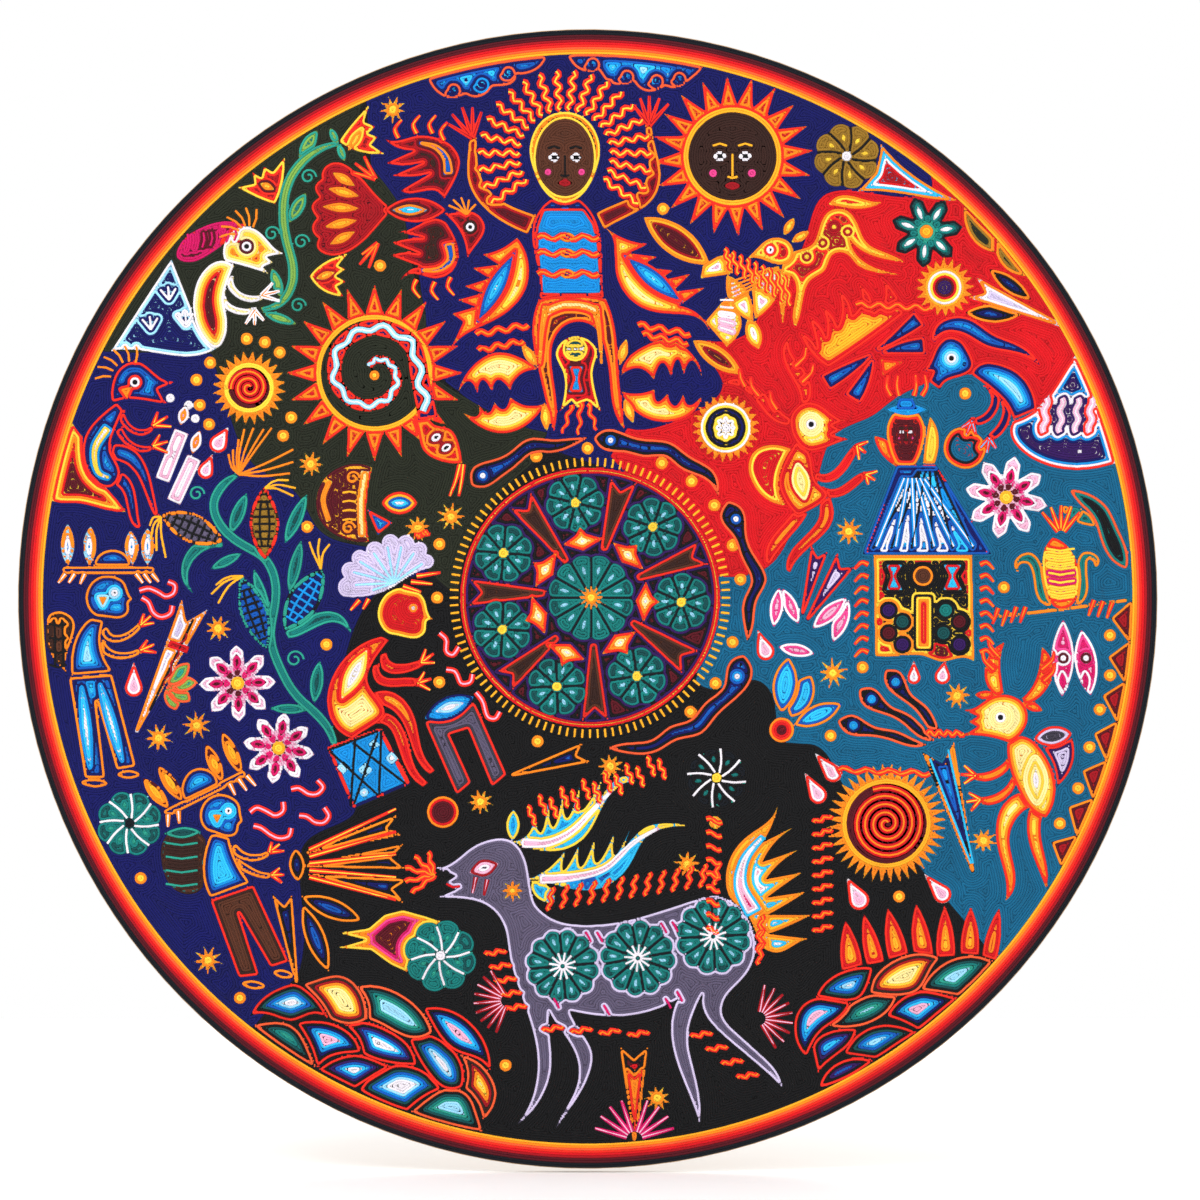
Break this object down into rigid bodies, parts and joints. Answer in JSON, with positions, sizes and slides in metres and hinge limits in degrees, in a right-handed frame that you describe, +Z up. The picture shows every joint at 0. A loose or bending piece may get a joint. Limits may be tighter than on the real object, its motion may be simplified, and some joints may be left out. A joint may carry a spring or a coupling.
{
  "type": "round yarn painting",
  "caption": "Round wall picture of coloured yarn pressed into wax on a wooden board, with strap and ring hangers that swing out behind it.",
  "frame": {"origin": "centre of the board's flat back face", "axes": "+Z up as hung, +Y out of the back towards the wall, the picture faces -Y, +X to the right seen from the front"},
  "size_m": [0.9999, 0.0224, 1],
  "materials": {
    "backing_board": "unfinished plywood",
    "blue_bird_dancer": "pressed acrylic or wool yarn",
    "blue_crested_bird": "pressed acrylic or wool yarn",
    "clouds": "pressed acrylic or wool yarn",
    "corn_deity": "pressed acrylic or wool yarn",
    "corn_plant": "pressed acrylic or wool yarn",
    "crested_bird_dancer": "pressed acrylic or wool yarn",
    "deer_dancer": "pressed acrylic or wool yarn",
    "deer_plumes": "pressed acrylic or wool yarn",
    "deer_rosettes": "pressed acrylic or wool yarn",
    "deity_body": "pressed acrylic or wool yarn",
    "deity_head": "pressed acrylic or wool yarn",
    "deity_wings": "pressed acrylic or wool yarn",
    "field_black": "pressed acrylic or wool yarn",
    "field_navy": "pressed acrylic or wool yarn",
    "field_olive": "pressed acrylic or wool yarn",
    "field_red": "pressed acrylic or wool yarn",
    "field_teal": "pressed acrylic or wool yarn",
    "fire_and_sticks": "pressed acrylic or wool yarn",
    "flowering_vine": "pressed acrylic or wool yarn",
    "flowers": "pressed acrylic or wool yarn",
    "gourd_bowl": "pressed acrylic or wool yarn",
    "great_deer": "pressed acrylic or wool yarn",
    "hanger_screws": "zinc plated",
    "hill_flames": "pressed acrylic or wool yarn",
    "house": "pressed acrylic or wool yarn",
    "hummingbird": "pressed acrylic or wool yarn",
    "leaping_deer": "pressed acrylic or wool yarn",
    "left_hill": "pressed acrylic or wool yarn",
    "medallion_ground": "pressed acrylic or wool yarn",
    "medallion_quivers": "pressed acrylic or wool yarn",
    "medallion_ring": "pressed acrylic or wool yarn",
    "medallion_rosettes": "pressed acrylic or wool yarn",
    "peyote_discs": "pressed acrylic or wool yarn",
    "pilgrim_lower": "pressed acrylic or wool yarn",
    "pilgrim_upper": "pressed acrylic or wool yarn",
    "rain_drops": "pressed acrylic or wool yarn",
    "red_deer_dancer": "pressed acrylic or wool yarn",
    "red_eagle": "pressed acrylic or wool yarn",
    "right_hill": "pressed acrylic or wool yarn",
    "rim_rings": "pressed acrylic or wool yarn",
    "rim_zigzag": "pressed acrylic or wool yarn",
    "ring_left": "zinc plated",
    "ring_right": "zinc plated",
    "round_dots": "pressed acrylic or wool yarn",
    "shell_fan": "pressed acrylic or wool yarn",
    "singer": "pressed acrylic or wool yarn",
    "small_offerings": "pressed acrylic or wool yarn",
    "small_suns": "pressed acrylic or wool yarn",
    "snake_sun": "pressed acrylic or wool yarn",
    "snakes": "pressed acrylic or wool yarn",
    "stool_and_drum": "pressed acrylic or wool yarn",
    "strap_left": "zinc plated",
    "strap_right": "zinc plated",
    "sun_face": "pressed acrylic or wool yarn",
    "votive_arrows": "pressed acrylic or wool yarn",
    "wall_bumpers": "soft",
    "wax_bed": null,
    "yellow_stars": "pressed acrylic or wool yarn"
  },
  "bodies": {
    "panel": {"backing_board": "backing_board", "blue_bird_dancer": "blue_bird_dancer", "blue_crested_bird": "blue_crested_bird", "clouds": "clouds", "corn_deity": "corn_deity", "corn_plant": "corn_plant", "crested_bird_dancer": "crested_bird_dancer", "deer_dancer": "deer_dancer", "deer_plumes": "deer_plumes", "deer_rosettes": "deer_rosettes", "deity_body": "deity_body", "deity_head": "deity_head", "deity_wings": "deity_wings", "field_black": "field_black", "field_navy": "field_navy", "field_olive": "field_olive", "field_red": "field_red", "field_teal": "field_teal", "fire_and_sticks": "fire_and_sticks", "flowering_vine": "flowering_vine", "flowers": "flowers", "gourd_bowl": "gourd_bowl", "great_deer": "great_deer", "hanger_screws": "hanger_screws", "hill_flames": "hill_flames", "house": "house", "hummingbird": "hummingbird", "leaping_deer": "leaping_deer", "left_hill": "left_hill", "medallion_ground": "medallion_ground", "medallion_quivers": "medallion_quivers", "medallion_ring": "medallion_ring", "medallion_rosettes": "medallion_rosettes", "peyote_discs": "peyote_discs", "pilgrim_lower": "pilgrim_lower", "pilgrim_upper": "pilgrim_upper", "rain_drops": "rain_drops", "red_deer_dancer": "red_deer_dancer", "red_eagle": "red_eagle", "right_hill": "right_hill", "rim_rings": "rim_rings", "rim_zigzag": "rim_zigzag", "round_dots": "round_dots", "shell_fan": "shell_fan", "singer": "singer", "small_offerings": "small_offerings", "small_suns": "small_suns", "snake_sun": "snake_sun", "snakes": "snakes", "stool_and_drum": "stool_and_drum", "strap_left": "strap_left", "strap_right": "strap_right", "sun_face": "sun_face", "votive_arrows": "votive_arrows", "wall_bumpers": "wall_bumpers", "wax_bed": "wax_bed", "yellow_stars": "yellow_stars"},
    "ring_left": {"ring_left": "ring_left"},
    "ring_right": {"ring_right": "ring_right"}
  },
  "joints": [
    {"name": "ring_left_swing", "type": "hinge", "parent": "panel", "child": "ring_left", "pos_m": [-0.28, 0.0042, 0.165], "axis": [0, 0, 1], "range_deg": [0, 150]},
    {"name": "ring_right_swing", "type": "hinge", "parent": "panel", "child": "ring_right", "pos_m": [0.28, 0.0042, 0.165], "axis": [0, 0, -1], "range_deg": [0, 150]}
  ]
}
